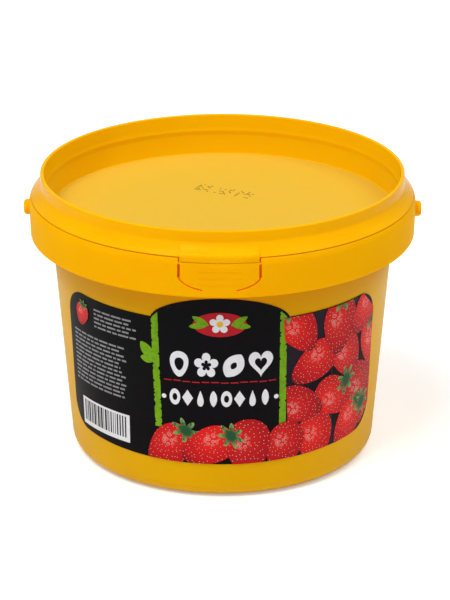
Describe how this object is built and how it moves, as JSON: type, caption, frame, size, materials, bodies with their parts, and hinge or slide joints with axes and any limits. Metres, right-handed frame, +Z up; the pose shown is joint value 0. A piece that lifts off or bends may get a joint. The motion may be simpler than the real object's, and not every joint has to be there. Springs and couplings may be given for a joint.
{
  "type": "jam tub",
  "caption": "Shut round plastic jam tub with a tapered wall, a collar with a tear tab, a press-on lid with a stacking recess and a wrapped printed label.",
  "frame": {"origin": "middle of the base, on the surface that the tub stands on", "axes": "+Z up along the tub's axis, -Y to the front where the tear tab and the label are, +X to the right lug seen from the front"},
  "size_m": [0.1326, 0.1288, 0.0966],
  "materials": {
    "tub_plastic": "satin moulded yellow plastic",
    "lid_plastic": "satin moulded yellow plastic",
    "label_print": "satin printed film"
  },
  "bodies": {
    "root": {"tub": "tub_plastic", "lid": "lid_plastic", "label": "label_print"}
  },
  "joints": []
}
